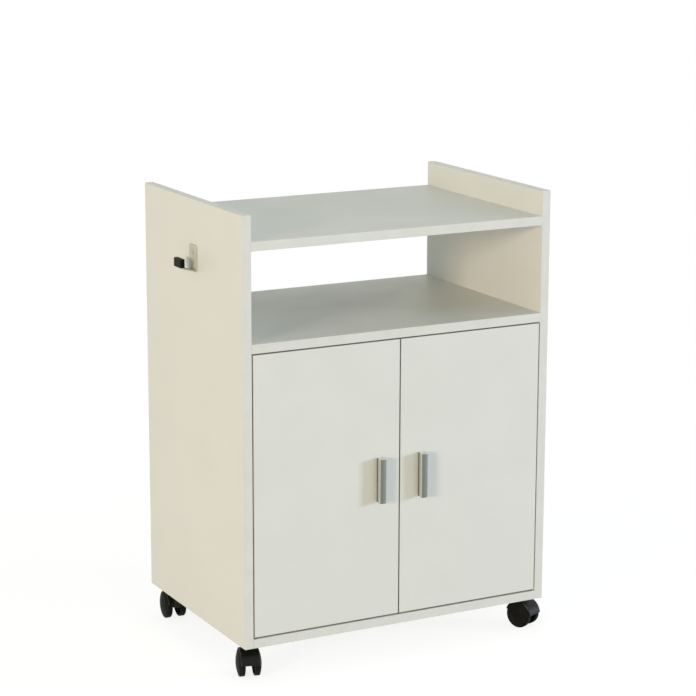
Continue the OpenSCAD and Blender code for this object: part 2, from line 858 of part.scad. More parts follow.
module caster_wheel(corner, hand) {
    color(black_nylon) at_caster(corner) at_axle() mirror([hand == "left" ? 1 : 0, 0, 0])
        translate([web_thick / 2 + wheel_play, 0, 0]) rotate([0, 90, 0]) rotate_extrude() wheel_section();
}

// ---------- assembly ----------

for (side = SIDES) {
    side_panel(side);
    door(side);
    handle(side);
    handle_screws(side);
    hinge_pins(side);
    cup_screws(side);
    for (level = LEVELS) {
        hinge_plate(side, level);
        hinge_arm(side, level);
        hinge_cup(side, level);
    }
}
for (corner = CORNERS) {
    caster_stem(corner);
    caster_hood(corner);
    caster_axle(corner);
    for (hand = SIDES)
        caster_wheel(corner, hand);
}
top_board();
middle_shelf();
bottom_board();
back_panel();
inner_shelf();
shelf_pins();
cam_locks();
cam_bolts();
dowels();
hook_strip();
hook_cap();
hook_screws();
hinge_plate_screws();
hinge_arm_screws();
caster_inserts();
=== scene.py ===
"""The looks of the microwave cart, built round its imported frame. Metres, +Z up, front at -Y."""
from math import asin, atan2, cos, pi, radians, sin, sqrt

import bmesh
import bpy
from mathutils import Euler, Matrix, Vector


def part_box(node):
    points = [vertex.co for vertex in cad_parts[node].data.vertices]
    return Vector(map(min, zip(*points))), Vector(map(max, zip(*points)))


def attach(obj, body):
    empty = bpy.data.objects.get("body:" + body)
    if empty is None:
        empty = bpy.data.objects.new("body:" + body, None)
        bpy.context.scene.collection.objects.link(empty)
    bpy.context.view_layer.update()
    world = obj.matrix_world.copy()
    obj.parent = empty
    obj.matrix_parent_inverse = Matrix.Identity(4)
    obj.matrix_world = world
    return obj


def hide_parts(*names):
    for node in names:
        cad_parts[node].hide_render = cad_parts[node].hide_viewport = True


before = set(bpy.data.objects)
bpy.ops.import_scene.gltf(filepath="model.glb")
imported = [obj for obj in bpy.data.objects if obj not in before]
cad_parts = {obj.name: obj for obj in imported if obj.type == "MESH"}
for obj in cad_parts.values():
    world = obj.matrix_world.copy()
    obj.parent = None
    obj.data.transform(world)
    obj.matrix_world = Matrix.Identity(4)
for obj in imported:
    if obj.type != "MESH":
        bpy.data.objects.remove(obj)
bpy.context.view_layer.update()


# ---------- camera ----------
# A long lens, above and to the left of the cart's front, looking down on it a little. Its place
# and its turn were solved from the cart's edges in the photograph.
camera_lens = 119.77       # millimetres, on a 36 mm sensor
camera_place = (-1.86714, -3.54047, 1.41788)
camera_turn = Euler([radians(angle) for angle in (77.2175, -0.1509, -27.8349)])

camera = bpy.data.objects.new("camera", bpy.data.cameras.new("camera"))
camera.data.lens = camera_lens
camera.data.sensor_width = 36
camera.matrix_world = Matrix.LocRotScale(camera_place, camera_turn, None)
bpy.context.scene.collection.objects.link(camera)
bpy.context.scene.camera = camera
bpy.context.scene.view_settings.view_transform = "Standard"


# ---------- studio ----------
# A white sweep under an even sky, with two soft boxes low at the left and right: a warm one and
# a cool one, so that each handle throws two shadows.
def linear(colour):
    """An sRGB hex colour, such as #DADBD4, as linear light."""
    parts = [int(colour[i:i + 2], 16) / 255 for i in (1, 3, 5)]
    return [c / 12.92 if c <= 0.04045 else ((c + 0.055) / 1.055) ** 2.4 for c in parts] + [1]


def add(tree, kind, inputs=(), out=None, **settings):
    """Adds a node, gives it its settings, sets or links its inputs, and returns one output.

    The inputs are a dict by name, or a list by position where names repeat."""
    made = tree.nodes.new("ShaderNode" + kind)
    for name, value in settings.items():
        setattr(made, name, value)
    sockets = [s for s in made.inputs if s.enabled]
    named = inputs.items() if isinstance(inputs, dict) else enumerate(inputs)
    for key, value in named:
        socket = sockets[key] if isinstance(key, int) else next(s for s in sockets if s.name == key)
        if isinstance(value, bpy.types.NodeSocket):
            tree.links.new(value, socket)
        else:
            socket.default_value = value
    return made.outputs[out] if out else next((s for s in made.outputs if s.enabled), None)


def seen_directly(tree):
    """1 for rays from the camera, in reflections and through glass, and 0 for other rays."""
    rays = tree.nodes.new("ShaderNodeLightPath")
    mirrored = add(tree, "Math", [rays.outputs["Is Camera Ray"], rays.outputs["Is Glossy Ray"]],
                   operation="MAXIMUM")
    return add(tree, "Math", [mirrored, rays.outputs["Is Transmission Ray"]], operation="MAXIMUM")


world = bpy.data.worlds.new("white studio")
world.use_nodes = True
world.node_tree.nodes.clear()
fill = add(world.node_tree, "Background", {"Color": linear("#F7FFF8"), "Strength": 0.545})
sweep = add(world.node_tree, "Background", {"Color": linear("#FFFFFF"), "Strength": 1})
add(world.node_tree, "OutputWorld", {"Surface": add(
    world.node_tree, "MixShader", [seen_directly(world.node_tree), fill, sweep])})
bpy.context.scene.world = world

floor_bounce = "#E2E2DA"   # what lights the cart from below
floor_shade = "#8A8A88"    # what the shadow is taken from, in the picture
floor_glow = 0.84          # what the floor shows where the cart's shadow is deepest
floor_reach = 40           # metres, from the middle to the edge
fade = (0.55, 1.6)         # the shadow fades out between these distances from the middle

floor_mesh = bmesh.new()
bmesh.ops.create_grid(floor_mesh, x_segments=1, y_segments=1, size=floor_reach)
floor = bpy.data.objects.new("floor", bpy.data.meshes.new("floor"))
floor_mesh.to_mesh(floor.data)
floor_mesh.free()
bpy.context.scene.collection.objects.link(floor)
floor_paper = bpy.data.materials.new("white paper sweep")
floor_paper.use_nodes = True
tree = floor_paper.node_tree
tree.nodes.clear()
bounce = add(tree, "BsdfDiffuse", {"Color": linear(floor_bounce)})
shade = add(tree, "BsdfDiffuse", {"Color": linear(floor_shade)})
glow = add(tree, "Emission", {"Color": linear("#FFFFFF"), "Strength": floor_glow})
shaded = add(tree, "AddShader", [shade, glow])
from_middle = add(tree, "VectorMath", [add(tree, "TexCoord", out="Object")],
                  out="Value", operation="LENGTH")
far = add(tree, "MapRange", [from_middle, *fade, 0, 1], interpolation_type="SMOOTHSTEP")
plain = add(tree, "Emission", {"Color": linear("#FFFFFF"), "Strength": 1})
shown = add(tree, "MixShader", [far, shaded, plain])
add(tree, "OutputMaterial", {"Surface": add(tree, "MixShader", [seen_directly(tree), bounce, shown])})
floor.data.materials.append(floor_paper)

# Name, colour, level on a face that looks straight at it, azimuth from the front towards the
# right, height above the horizon, distance and size
soft_boxes = [
    ("left_box", "#FFE9D5", 0.51, -61, 9.5, 9, 1.7),
    ("right_box", "#DAE3FF", 0.575, 60, 7, 9, 1.7),
]
aim = Vector((0, 0, 0.4))  # the middle of the cart
for name, colour, level, azimuth, height, distance, size in soft_boxes:
    lamp = bpy.data.objects.new(name, bpy.data.lights.new(name, "AREA"))
    lamp.data.shape = "SQUARE"
    lamp.data.size = size
    lamp.data.color = linear(colour)[:3]
    lamp.data.energy = level * pi ** 2 * distance ** 2
    towards = Vector((sin(radians(azimuth)) * cos(radians(height)),
                      -cos(radians(azimuth)) * cos(radians(height)), sin(radians(height))))
    lamp.matrix_world = Matrix.LocRotScale(
        aim + towards * distance, towards.to_track_quat("Z", "Y"), None)
    lamp.visible_camera = False
    bpy.context.scene.collection.objects.link(lamp)


# ---------- side panels, top board, shelf of the niche and bottom board ----------
# 16 mm particleboard faced with white melamine paper on both sides. The edges that show are
# banded with white plastic, rounded over by hand. Cams and dowels hold the boards.
MM = 0.001


def new_material(name):
    """An empty material that is named for a real finish, and its node tree."""
    material = bpy.data.materials.new(name)
    material.use_nodes = True
    material.node_tree.nodes.clear()
    return material, material.node_tree


def finish_material(material, **surface):
    """Ends a material in one principled surface with these inputs."""
    tree = material.node_tree
    inputs = {name.replace("_", " "): value for name, value in surface.items()}
    add(tree, "OutputMaterial", {"Surface": add(tree, "BsdfPrincipled", inputs)})
    return material


def noise(tree, size, detail=2, stretch=(1, 1, 1)):
    """Noise on the piece's own coordinates: the size of its lumps is in metres."""
    place = add(tree, "Mapping", {"Vector": add(tree, "TexCoord", out="Object"),
                                  "Scale": [1 / s for s in stretch]})
    return add(tree, "TexNoise", {"Vector": place, "Scale": 1 / size, "Detail": detail})


def blend(tree, factor, low, high):
    """Goes from one colour to another as the factor goes from 0 to 1."""
    return add(tree, "Mix", {"Factor": factor, "A": linear(low), "B": linear(high)},
               data_type="RGBA")


def spread(tree, factor, low, high):
    """Maps the middle of a noise onto this range of values."""
    return add(tree, "MapRange", [factor, 0.3, 0.7, low, high])


def raised(tree, heights, depth, strength=1.0):
    """A bump as deep as this, in metres."""
    return add(tree, "Bump", {"Height": heights, "Distance": depth, "Strength": strength})


def melamine():
    """Paper soaked in melamine resin, pressed with a pearl plate: matt, with a fine pebble."""
    material, tree = new_material("pearl white melamine")
    tone = spread(tree, noise(tree, 90 * MM, 3), 0, 1)
    handled = spread(tree, noise(tree, 45 * MM, 4), 0.40, 0.50)
    # The real pebble is about 0.3 mm and is drawn at 0.9 mm, so that it shows from a step away
    pebble = noise(tree, 0.9 * MM, 2)
    return finish_material(
        material, Base_Color=blend(tree, tone, "#D9DAD3", "#DCDDD6"), Roughness=handled,
        IOR=1.5, Normal=raised(tree, pebble, 0.012 * MM, 0.6))


def edge_band(name, low, high):
    """Extruded plastic, 0.4 mm, ironed on: a little glossier than the face, and barely wavy."""
    material, tree = new_material(name)
    tone = spread(tree, noise(tree, 40 * MM, 3), 0, 1)
    ironed = noise(tree, 14.4 * MM, 2)
    return finish_material(
        material, Base_Color=blend(tree, tone, low, high),
        Roughness=spread(tree, ironed, 0.34, 0.42), IOR=1.5,
        Normal=raised(tree, noise(tree, 2.5 * MM, 3), 0.02 * MM, 0.5))


def glue_line():
    """The cut edge of the facing paper and a trace of hot glue, where the band meets the face."""
    material, tree = new_material("glue line")
    tone = spread(tree, noise(tree, 3 * MM, 2), 0, 1)
    return finish_material(
        material, Base_Color=blend(tree, tone, "#B9B4A4", "#CFCBBE"), Roughness=0.6)


def particleboard():
    """Pressed wood chips, bare inside the bores and grooves and on the hidden ends."""
    material, tree = new_material("particleboard core")
    chips = add(tree, "TexVoronoi", {
        "Vector": add(tree, "TexCoord", out="Object"), "Scale": 1 / (2.2 * MM), "Randomness": 1},
        out="Color")
    chip = add(tree, "SeparateColor", [chips], out="Red")
    return finish_material(
        material, Base_Color=blend(tree, chip, "#8F7350", "#CDB187"), Roughness=0.85,
        Normal=raised(tree, chip, 0.2 * MM))


finishes = {"face": melamine(), "band": edge_band("white edge banding", "#D5D6CF", "#DBDCD5"),
            "glue": glue_line(), "core": particleboard()}
band_round = 0.5 * MM
strips = 3                 # of each rounding: the outermost is the glue line beside the face
touching = 0.02 * MM       # nearer than this counts as lying on a face


def joined_copy(node):
    """A copy of a node's mesh with its triangles joined into flat faces."""
    bm = bmesh.new()
    bm.from_mesh(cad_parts[node].data)
    bmesh.ops.remove_doubles(bm, verts=bm.verts, dist=0.001 * MM)
    bmesh.ops.dissolve_limit(bm, angle_limit=radians(0.05), verts=bm.verts, edges=bm.edges)
    return bm


def round_edges(bm, edges, radius, segments=2):
    """Rounds edges over and returns the new faces."""
    return bmesh.ops.bevel(
        bm, geom=edges, offset=radius, offset_type="OFFSET", segments=segments, profile=0.5,
        affect="EDGES", material=-1, clamp_overlap=True)["faces"]


def to_object(bm, name, body, nodes, materials, crease=35):
    """Makes the finished mesh a piece that rides on a body and stands for its nodes."""
    mesh = bpy.data.meshes.new(name)
    bm.normal_update()
    bm.to_mesh(mesh)
    bm.free()
    mesh.shade_smooth()
    mesh.set_sharp_from_angle(angle=radians(crease))
    for material in materials:
        mesh.materials.append(material)
    piece = bpy.data.objects.new(name, mesh)
    bpy.context.scene.collection.objects.link(piece)
    # Large faces stay flat and their roundings take the bend
    piece.modifiers.new("flat faces", "WEIGHTED_NORMAL").keep_sharp = True
    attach(piece, body)
    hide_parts(*nodes)
    return piece


def board(node, name, body, thin, raw_ends):
    """A board: thin is the axis through its thickness, raw_ends the axis of its bare ends."""
    bm = joined_copy(node)
    low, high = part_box(node)

    def planes(point):
        """The planes of the board's box that a point lies on, as (axis, which side)."""
        return {(axis, side) for axis in range(3) for side, bound in enumerate((low, high))
                if abs(point[axis] - bound[axis]) < touching}

    def shared_planes(edge):
        """The planes of the board's box that a whole edge lies on."""
        return planes(edge.verts[0].co) & planes(edge.verts[1].co)

    arrises = [e for e in bm.edges if len(shared_planes(e)) == 2
               and raw_ends not in {axis for axis, _ in shared_planes(e)}]
    rounded = set(round_edges(bm, arrises, band_round, strips))
    keys = list(finishes)
    glue_depth = band_round * (1 - cos(radians(90 / strips)))
    for face in bm.faces:
        middle = face.calc_center_median()
        depth = min(middle[thin] - low[thin], high[thin] - middle[thin])
        lies_on = {axis for axis, _ in planes(middle)}
        if face in rounded:
            face.material_index = keys.index("glue" if depth < glue_depth else "band")
        elif thin in lies_on:
            face.material_index = keys.index("face")
        elif lies_on and raw_ends not in lies_on:
            face.material_index = keys.index("band")
        else:
            face.material_index = keys.index("core")
    return to_object(bm, name, body, [node], finishes.values())


X, Y, Z = range(3)
for side in ("left", "right"):
    board(side + "_side_panel", side + "_panel", "cart", thin=X, raw_ends=None)
for node in ("top_board", "middle_shelf", "bottom_board"):
    board(node, "white_" + node, "cart", thin=Z, raw_ends=X)


# ---------- back of the cupboard ----------
# 3 mm hardboard, slid into grooves in the panels and boards. Its face is lacquered white, and
# its rear keeps the print of the screen that it was pressed on.
def lacquered_hardboard():
    """Thin white lacquer over pressed fibre: satin, and on the rear a 1.2 mm screen print."""
    material, tree = new_material("lacquered hardboard")
    tone = spread(tree, noise(tree, 60 * MM, 4), 0, 1)
    across = add(tree, "SeparateXYZ", [add(tree, "TexCoord", out="Object")]).node.outputs
    pitch = 1.2 * MM
    turns = 2 * pi / pitch
    waves = [add(tree, "Math", [add(tree, "Math", [across[axis], turns], operation="MULTIPLY")],
                 operation="SINE") for axis in ("X", "Z")]
    screen = add(tree, "Math", waves, operation="MULTIPLY")
    facing = add(tree, "SeparateXYZ", [add(tree, "NewGeometry", out="Normal")]).node.outputs["Y"]
    rear = add(tree, "Math", [facing, 0.0], operation="MAXIMUM")
    print_only = add(tree, "Math", [screen, rear], operation="MULTIPLY")
    return finish_material(
        material, Base_Color=blend(tree, tone, "#CFCFC5", "#D6D6CD"),
        Roughness=spread(tree, noise(tree, 25 * MM, 3), 0.38, 0.5),
        Normal=raised(tree, print_only, 0.05 * MM))


bm = joined_copy("back_panel")
round_edges(bm, list(bm.edges), 0.2 * MM, 1)
to_object(bm, "hardboard_back", "cart", ["back_panel"], [lacquered_hardboard()])


# ---------- cams, cam bolts and dowels ----------
# Die-cast zinc cams in the undersides of the boards, the zinc-plated steel bolts that they
# draw in, and beech dowels. Only the cams show, from below.
def cast_zinc():
    """Die-cast zinc, as it leaves the tumbler: mid grey, dull, with a sandy grain."""
    material, tree = new_material("die-cast zinc")
    grain = noise(tree, 0.5 * MM, 3)
    return finish_material(
        material, Base_Color=blend(tree, spread(tree, grain, 0, 1), "#8E908F", "#B2B4B2"),
        Metallic=1.0, Roughness=spread(tree, noise(tree, 3 * MM, 3), 0.42, 0.55),
        Normal=raised(tree, grain, 0.03 * MM))


def zinc_plated_steel():
    """Bright zinc on steel: pale blue-grey metal, a little blotchy, with fine drawing marks."""
    material, tree = new_material("zinc-plated steel")
    blotch = spread(tree, noise(tree, 4 * MM, 4), 0, 1)
    return finish_material(
        material, Base_Color=blend(tree, blotch, "#B4B7B9", "#CBCCC8"), Metallic=1.0,
        Roughness=spread(tree, noise(tree, 1.5 * MM, 3), 0.26, 0.40),
        Normal=raised(tree, noise(tree, 0.25 * MM, 2), 0.01 * MM, 0.4))


def beech():
    """Turned beech: pale brown, with fine straight grain along the dowel and darker flecks."""
    material, tree = new_material("beech")
    grain = noise(tree, 0.6 * MM, 4, stretch=(14, 1, 1))
    return finish_material(
        material, Base_Color=blend(tree, spread(tree, grain, 0, 1), "#B58E5E", "#D8B98A"),
        Roughness=0.7, Normal=raised(tree, grain, 0.04 * MM))


def refinish(node, material):
    """Gives a node that keeps its own shape a finished material."""
    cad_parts[node].data.materials.clear()
    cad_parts[node].data.materials.append(material)


zinc = zinc_plated_steel()
refinish("cam_locks", cast_zinc())
refinish("cam_bolts", zinc)
refinish("dowels", beech())


# ---------- shelf in the cupboard and its pins ----------
# A loose board banded on all four edges. It lies on four zinc-plated steel pins, which push
# into one row of three in the side panels.
board("inner_shelf", "white_inner_shelf", "cart", thin=Z, raw_ends=None)
refinish("shelf_pins", zinc)


# ---------- casters ----------
# Four furniture casters with two nylon wheels each. A moulded hood covers the trailing half of
# the wheels, and a plated stem turns in its boss and is screwed into an insert in the board.
def black_nylon(name, low, high, rough, mirror):
    """Moulded black nylon: dark, with a skin that copies the spark-eroded mould."""
    material, tree = new_material(name)
    skin = noise(tree, 0.45 * MM, 2)
    return finish_material(
        material, Base_Color=blend(tree, spread(tree, noise(tree, 7 * MM, 4), 0, 1), low, high),
        Roughness=spread(tree, noise(tree, 5 * MM, 3), *rough), Specular_IOR_Level=mirror,
        Normal=raised(tree, skin, 0.02 * MM, 0.6))


def vertex_chain(bm, points, closed=False):
    """Vertices at these points, joined one after the other."""
    verts = [bm.verts.new(p) for p in points]
    pairs = list(zip(verts, verts[1:])) + ([(verts[-1], verts[0])] if closed else [])
    return verts + [bm.edges.new(pair) for pair in pairs]


def spin_about(bm, geom, axis, angle=2 * pi, steps=72):
    """Turns an outline about an axis through the origin."""
    bmesh.ops.spin(bm, geom=geom, cent=(0, 0, 0), axis=axis, angle=angle, steps=steps,
                   use_merge=angle == 2 * pi, use_duplicate=False)


def close_up(bm):
    """Joins doubles, closes what is open and turns the faces outwards."""
    bmesh.ops.remove_doubles(bm, verts=bm.verts, dist=0.002 * MM)
    bmesh.ops.holes_fill(bm, edges=[e for e in bm.edges if e.is_boundary], sides=0)
    bmesh.ops.recalc_face_normals(bm, faces=bm.faces)
    return bm


def rod(radius, low, high, place=Matrix(), steps=48):
    """A closed rod from low to high along Z, then placed."""
    bm = bmesh.new()
    bmesh.ops.create_cone(
        bm, cap_ends=True, segments=steps, radius1=radius, radius2=radius, depth=high - low,
        matrix=place @ Matrix.Translation((0, 0, (low + high) / 2)))
    return bm


def combine(bm, tool, operation):
    """Joins a closed mesh with another one, or cuts it away."""
    pair = []
    for part in (bm, tool):
        mesh = bpy.data.meshes.new("part")
        part.to_mesh(mesh)
        part.free()
        pair.append(bpy.data.objects.new("part", mesh))
        bpy.context.scene.collection.objects.link(pair[-1])
    step = pair[0].modifiers.new("combine", "BOOLEAN")
    step.operation, step.object, step.solver = operation, pair[1], "EXACT"
    made = bmesh.new()
    made.from_object(pair[0], bpy.context.evaluated_depsgraph_get())
    for holder in pair:
        bpy.data.objects.remove(holder)
    bmesh.ops.remove_doubles(made, verts=made.verts, dist=0.002 * MM)
    return made


def sharp_edges(bm, angle=35):
    """The edges where two faces meet at more than this angle, in degrees."""
    return [e for e in bm.edges if e.is_manifold and e.calc_face_angle(0) > radians(angle)]


def centre_of(node):
    """The middle of a node's box."""
    low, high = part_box(node)
    return (low + high) / 2


def reach_along(node, direction, centre):
    """Lowest and highest reach of a node along a direction, from a centre."""
    reach = [(v.co - centre).dot(direction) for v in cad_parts[node].data.vertices]
    return min(reach), max(reach)


def caster_place(corner):
    """A caster's own frame: the middle of its axle, the axle along X, the wheels behind at -Y."""
    axle_at = centre_of(corner + "_caster_axle")
    behind = axle_at - centre_of(corner + "_caster_stem")
    return Matrix.Translation(axle_at) @ Matrix.Rotation(
        atan2(behind.y, behind.x) + pi / 2, 4, "Z")


# The four casters are alike, so their shapes are measured on the first
first = caster_place("front_left")
axle_line = first.to_3x3() @ Vector((1, 0, 0))
wheel_radius = first.translation.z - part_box("front_left_caster_right_wheel")[0].z
wheel_near, wheel_far = reach_along("front_left_caster_right_wheel", axle_line, first.translation)
wheel_dome = 4.5 * MM      # how far the outer face swells
dome_radius = (wheel_radius ** 2 + wheel_dome ** 2) / (2 * wheel_dome)
axle_bore = 3.05 * MM      # radius of the bores that run on the axle


def dome(radius):
    """How far out along the axle the domed side of a caster lies at this radius."""
    return wheel_far - dome_radius + sqrt(dome_radius ** 2 - radius ** 2)


def arc(centre, radius, start, end, steps=4):
    """Points on an arc of an outline, its angles in degrees."""
    turns = [radians(start + (end - start) * i / steps) for i in range(steps + 1)]
    return [(centre[0] + radius * cos(t), centre[1] + radius * sin(t)) for t in turns]


def wheel():
    """The right wheel in its caster's frame. Its domed face has a ring groove and a dished
    middle, and its inner side is hollow, with ribs between the rim and the hub."""
    hub, rim, skin, round_over = 5 * MM, 3 * MM, 2.4 * MM, 1.6 * MM
    ring, ring_wide, ring_deep = 19.3 * MM, 0.9 * MM, 0.5 * MM
    dish, dish_slope, dish_deep = 4.4 * MM, 0.3 * MM, 0.35 * MM
    bore_end = wheel_far - 2.5 * MM
    round_at = wheel_radius - round_over
    shoulder = dome(round_at)
    hollow = shoulder - skin
    outline = [(bore_end, 0), (bore_end, axle_bore), (wheel_near, axle_bore), (wheel_near, hub),
               (hollow, hub), (hollow, wheel_radius - rim), (wheel_near, wheel_radius - rim)]
    outline += arc((wheel_near + round_over, round_at), round_over, 180, 90)
    outline += arc((shoulder - round_over, round_at), round_over, 90, 0)
    outline += [(dome(ring + ring_wide), ring + ring_wide),
                (dome(ring) - ring_deep, ring + 0.8 * ring_wide),
                (dome(ring) - ring_deep, ring + 0.2 * ring_wide), (dome(ring), ring)]
    outline += [(dome(r), r) for r in (17 * MM, 14 * MM, 11 * MM, 8 * MM, dish + dish_slope)]
    outline += [(dome(dish) - dish_deep, dish), (dome(0) - dish_deep, 0)]
    bm = bmesh.new()
    spin_about(bm, vertex_chain(bm, [(x, 0, r) for x, r in outline]), (1, 0, 0))
    close_up(bm)
    ribs = 6
    rib_thick = 1.4 * MM
    rib_top = wheel_near + 1 * MM
    for i in range(ribs):
        rib = bmesh.new()
        middle = Vector(((rib_top + hollow + skin / 2) / 2, 0, (hub + wheel_radius - rim) / 2))
        size = (hollow + skin / 2 - rib_top, rib_thick, wheel_radius - rim - hub + 2 * MM)
        bmesh.ops.create_cube(rib, size=1, matrix=Matrix.Rotation(2 * pi * i / ribs, 4, "X")
                              @ Matrix.LocRotScale(middle, None, size))
        bm = combine(bm, rib, "UNION")
    return bm


def hood():
    """The hood in its caster's frame: a shell over the wheels, a web between them, a hub round
    the axle and a boss round the stem."""
    shell_in, shell_out = wheel_radius + 1 * MM, wheel_radius + 3.2 * MM
    cover = radians(160)
    wheel_gap = 0.45 * MM
    web = 2 * (wheel_near - wheel_gap)
    web_reach = (shell_in + shell_out) / 2
    hub, stem_bore, bore_from = 5 * MM, 4.05 * MM, 3 * MM
    stem_at = first.inverted() @ centre_of("front_left_caster_stem")
    boss_low, boss_high = 1 * MM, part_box("front_left_caster_hood")[1].z - wheel_radius
    backwards = (-1, 0, 0)
    lowest = Matrix.Rotation(radians(5), 3, backwards)   # where the trailing edge ends
    bm = bmesh.new()
    shell = [lowest @ Vector((s * dome(r), -r, 0)) for s, r in
             ((-1, shell_in), (1, shell_in), (1, shell_out), (-1, shell_out))]
    spin_about(bm, vertex_chain(bm, shell, closed=True), backwards, cover, 56)
    close_up(bm)
    round_edges(bm, sharp_edges(bm), 0.5 * MM, 3)

    plate = bmesh.new()
    web_from = Matrix.Rotation(radians(7), 3, backwards)   # the web stops short of the edges
    spin_about(plate, vertex_chain(plate, [(0, 0, 0), web_from @ Vector((0, -web_reach, 0))]),
               backwards, cover - radians(4), 32)
    bmesh.ops.remove_doubles(plate, verts=plate.verts, dist=0.002 * MM)
    raised_faces = bmesh.ops.extrude_face_region(plate, geom=plate.faces)["geom"]
    bmesh.ops.translate(plate, vec=(web, 0, 0),
                        verts=[g for g in raised_faces if isinstance(g, bmesh.types.BMVert)])
    bmesh.ops.translate(plate, vec=(-web / 2, 0, 0), verts=plate.verts)
    close_up(plate)
    round_edges(plate, sharp_edges(plate), 0.3 * MM, 2)

    sideways = Matrix.Rotation(pi / 2, 4, "Y")
    over_stem = Matrix.Translation((0, stem_at.y, 0))
    boss = rod(web / 2 - 0.05 * MM, boss_low, boss_high, over_stem)
    round_edges(boss, sharp_edges(boss), 0.5 * MM, 2)
    for part in (plate, rod(hub, -web / 2, web / 2, sideways), boss):
        bm = combine(bm, part, "UNION")
    bm = combine(bm, rod(stem_bore, bore_from, boss_high + 1 * MM, over_stem), "DIFFERENCE")
    return combine(bm, rod(axle_bore, -web, web, sideways), "DIFFERENCE")


hood_nylon = black_nylon("black nylon, satin moulding", "#090A08", "#10110E", (0.34, 0.40), 0.2)
wheel_nylon = black_nylon("black nylon, dull moulding", "#0D0E0B", "#151611", (0.46, 0.54), 0.06)
tread_nylon = black_nylon("black nylon, scuffed tread", "#12130F", "#22221D", (0.50, 0.68), 0.06)
wheel_shape, hood_shape = wheel(), hood()
tread_from = wheel_radius - 0.4 * MM
for face in wheel_shape.faces:
    face.material_index = int(all(v.co.yz.length > tread_from for v in face.verts))

refinish("caster_inserts", zinc)
for corner in ("front_left", "front_right", "back_left", "back_right"):
    caster = corner + "_caster"
    place = caster_place(corner)
    shape = hood_shape.copy()
    bmesh.ops.transform(shape, matrix=place, verts=shape.verts)
    to_object(shape, corner + "_hood", caster, [caster + "_hood"], [hood_nylon])
    for hand, mirror in (("left", -1), ("right", 1)):
        shape = wheel_shape.copy()
        bmesh.ops.transform(shape, matrix=place @ Matrix.Diagonal((mirror, 1, 1, 1)),
                            verts=shape.verts)
        bmesh.ops.recalc_face_normals(shape, faces=shape.faces)
        to_object(shape, f"{corner}_{hand}_wheel", f"{corner}_{hand}_wheel",
                  [f"{caster}_{hand}_wheel"], [wheel_nylon, tread_nylon])
    refinish(caster + "_stem", zinc)
    refinish(caster + "_axle", zinc)


# ---------- doors ----------
# Two inset doors of the same faced board, bored from behind for the hinge cups and through for
# the handles' screws. Their edges are banded in a greyer white, as painted shade that darkens the
# gaps round them.
# The grey of the doors' edge banding is painted shade, for the dark gaps round the doors.
painted_shade_door_band = edge_band("edge banding greyed as painted gap shade", "#A3A49D", "#ABACA5")
for side in ("left", "right"):
    door = board(side + "_door", "white_" + side + "_door", side + "_door", thin=Y, raw_ends=None)
    door.data.materials[list(finishes).index("band")] = painted_shade_door_band


# ---------- handles and their screws ----------
# Cut lengths of extruded aluminium: a neck on the door and a wider lip with a crowned front. Front
# and neck take a darker copy of the metal, as painted shade and painted reflection, and the rest a
# lighter copy, as painted light. Pan-head screws hold them from inside the doors.
def anodised_aluminium(name, low, high, rough):
    """Anodised aluminium: metal with fine extrusion or brush lines along its length."""
    material, tree = new_material(name)
    lines = noise(tree, 0.35 * MM, 3, stretch=(1, 1, 160))
    return finish_material(
        material, Base_Color=blend(tree, spread(tree, lines, 0, 1), low, high),
        Metallic=1.0, Roughness=spread(tree, noise(tree, 12 * MM, 3), *rough),
        Normal=raised(tree, lines, 0.01 * MM, 0.5))


def solids(node):
    """The boxes of the separate solids of a node, as (low, high)."""
    bm = joined_copy(node)
    seen, boxes = set(), []
    for start in bm.verts:
        if start in seen:
            continue
        seen.add(start)
        part = [start]
        for vert in part:
            others = [e.other_vert(vert) for e in vert.link_edges]
            fresh = [other for other in others if other not in seen]
            seen.update(fresh)
            part.extend(fresh)
        boxes.append(tuple(Vector(pick(v.co[a] for v in part) for a in range(3))
                           for pick in (min, max)))
    bm.free()
    return boxes


def cross_screw(head, head_high, shank, length, depth):
    """A pan-head screw with a cross recess: its head up from the origin, its shank down.

    The recess is as deep as this share of the head's height."""
    flat = 0.74 * head
    outline = [(0, head_high), (flat, head_high)]
    outline += arc((flat, head_high - (head - flat)), head - flat, 72, 0, 4)
    outline += [(head, 0.1 * head_high), (0.96 * head, 0), (shank, 0),
                (shank, shank - length), (0, -length)]
    bm = bmesh.new()
    spin_about(bm, vertex_chain(bm, [(r, 0, z) for r, z in outline]), (0, 0, 1), steps=24)
    close_up(bm)
    arm, slot, deep = 0.5 * head, 0.14 * head, depth * head_high
    for turn in (0, pi / 2):
        bar = bmesh.new()
        bmesh.ops.create_cube(bar, size=1, matrix=Matrix.LocRotScale(
            (0, 0, head_high), None, (2 * arm, 2 * slot, 2 * deep)))
        bmesh.ops.scale(bar, vec=(0.6, 0.7, 1), verts=[v for v in bar.verts if v.co.z < head_high])
        bmesh.ops.rotate(bar, cent=(0, 0, 0), matrix=Matrix.Rotation(turn, 3, "Z"), verts=bar.verts)
        bm = combine(bm, bar, "DIFFERENCE")
    return bm


def screws(node, name, body, towards, head_high, shank, material, depth=0.6):
    """The screws of a node, all alike: towards gives the way that the head at a point looks."""
    places = []
    for low, high in solids(node):
        way = Vector(towards((low + high) / 2))
        axis = max(range(3), key=lambda a: abs(way[a]))
        head = (high - low)[(axis + 1) % 3] / 2
        length = (high - low)[axis] - head_high
        seat = (low + high) / 2
        seat[axis] = high[axis] - head_high if way[axis] > 0 else low[axis] + head_high
        places.append(Matrix.LocRotScale(seat, way.to_track_quat("Z", "Y"), None))
    shape = cross_screw(head, head_high, shank, length, depth)
    bm = bmesh.new()
    for place in places:
        part = shape.copy()
        bmesh.ops.transform(part, matrix=place, verts=part.verts)
        holder = bpy.data.meshes.new("part")
        part.to_mesh(holder)
        part.free()
        bm.from_mesh(holder)
    return to_object(bm, name, body, [node], [material])


